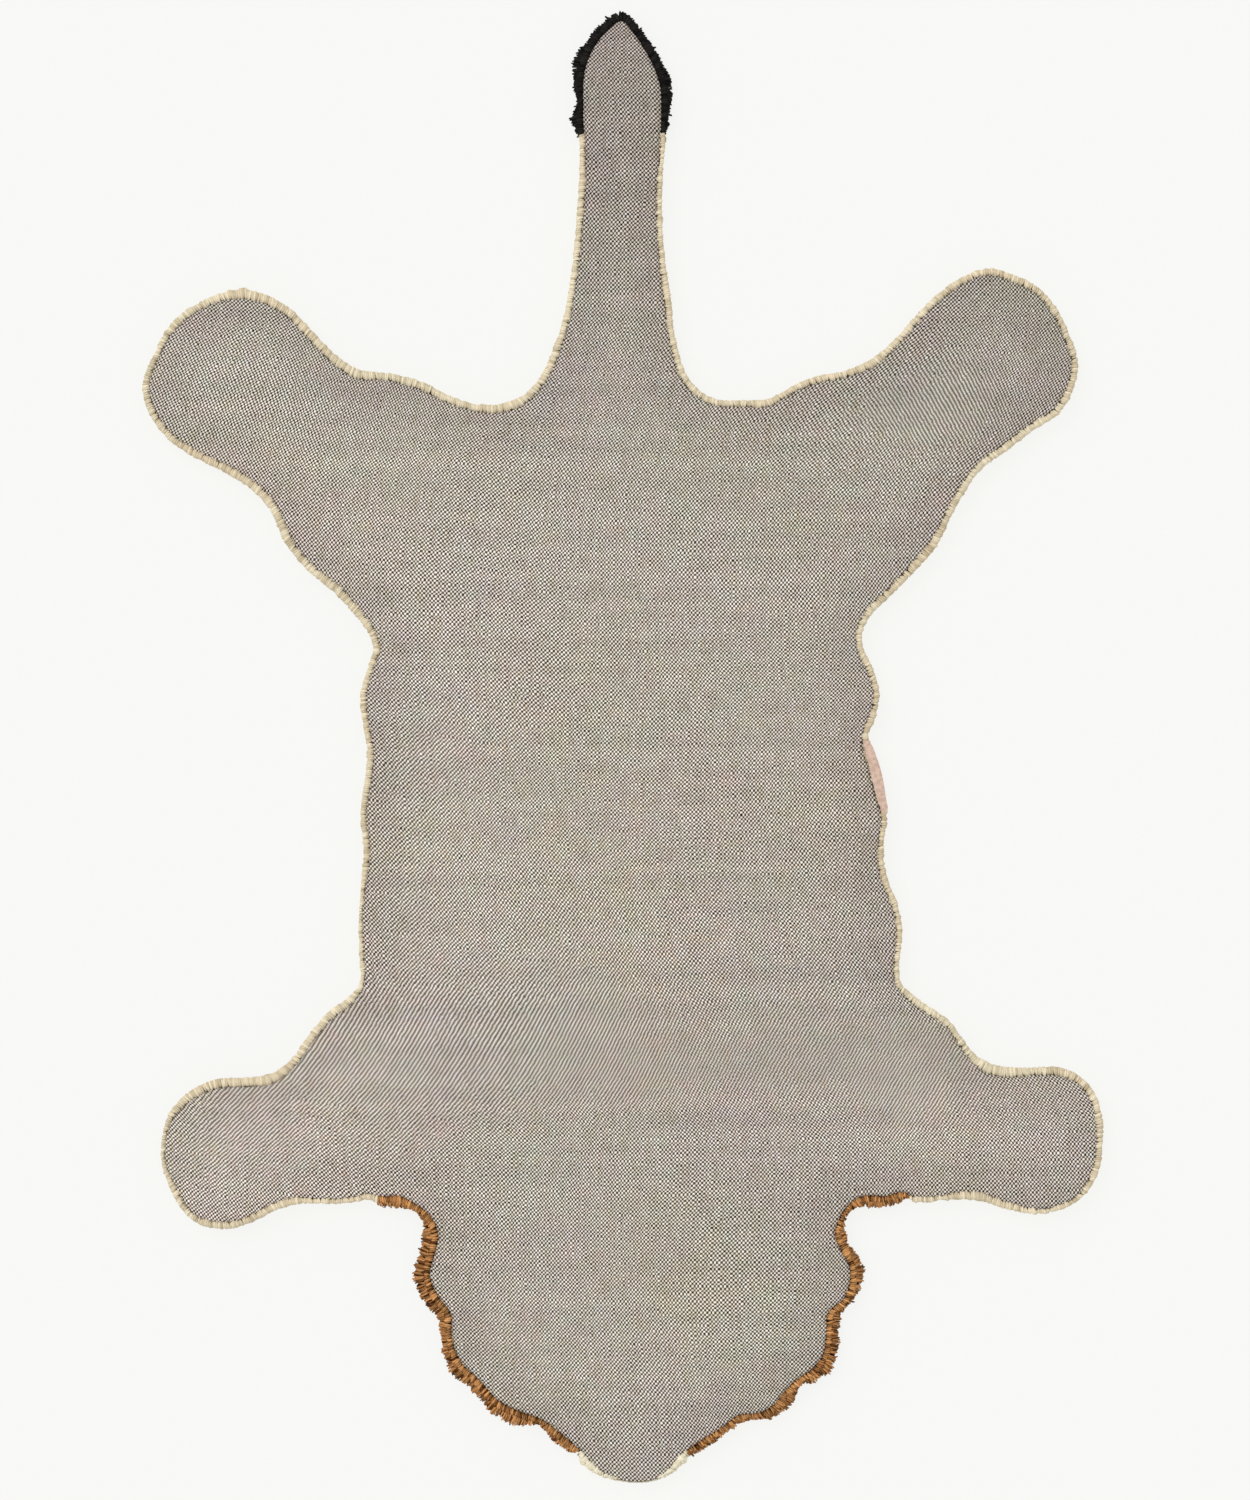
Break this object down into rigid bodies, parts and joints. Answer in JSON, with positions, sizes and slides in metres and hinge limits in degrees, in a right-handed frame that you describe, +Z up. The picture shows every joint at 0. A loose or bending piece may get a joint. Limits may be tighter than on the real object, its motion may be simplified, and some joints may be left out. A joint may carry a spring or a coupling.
{
  "type": "animal shaped kids rug",
  "caption": "Flat tufted wool rug in a lion's outline, lying pile down with its plain-weave canvas back up, with whipped yarn edges and a shaggy mane and tail tip.",
  "frame": {"origin": "on the floor, under the middle of the rug's bounding box", "axes": "+X to the right of the lying rug, +Y towards the tail, -Y towards the muzzle, +Z up from the floor, with the pile below and the canvas back on top"},
  "size_m": [0.5883, 0.8996, 0.0122],
  "materials": {
    "canvas_greige": "matt plain-weave cotton canvas",
    "yarn_cream": "matt cut wool pile and whipping yarn",
    "yarn_brown": "matt brown wool shag and whipping yarn",
    "yarn_black": "matt black wool shag and whipping yarn",
    "yarn_off_white": "matt off-white wool pile and whipping yarn",
    "ribbon_pink_beige": "woven ribbon, slightly smooth"
  },
  "bodies": {
    "root": {"backing_canvas": "canvas_greige", "pile_body": "yarn_cream", "pile_mane": "yarn_brown", "pile_muzzle": "yarn_off_white", "pile_tail_tip": "yarn_black", "edging_cream_left": "yarn_cream", "edging_cream_right": "yarn_cream", "edging_brown_left": "yarn_brown", "edging_brown_right": "yarn_brown", "edging_black": "yarn_black", "edging_white_left": "yarn_off_white", "edging_white_right": "yarn_off_white", "label": "ribbon_pink_beige"}
  },
  "joints": []
}
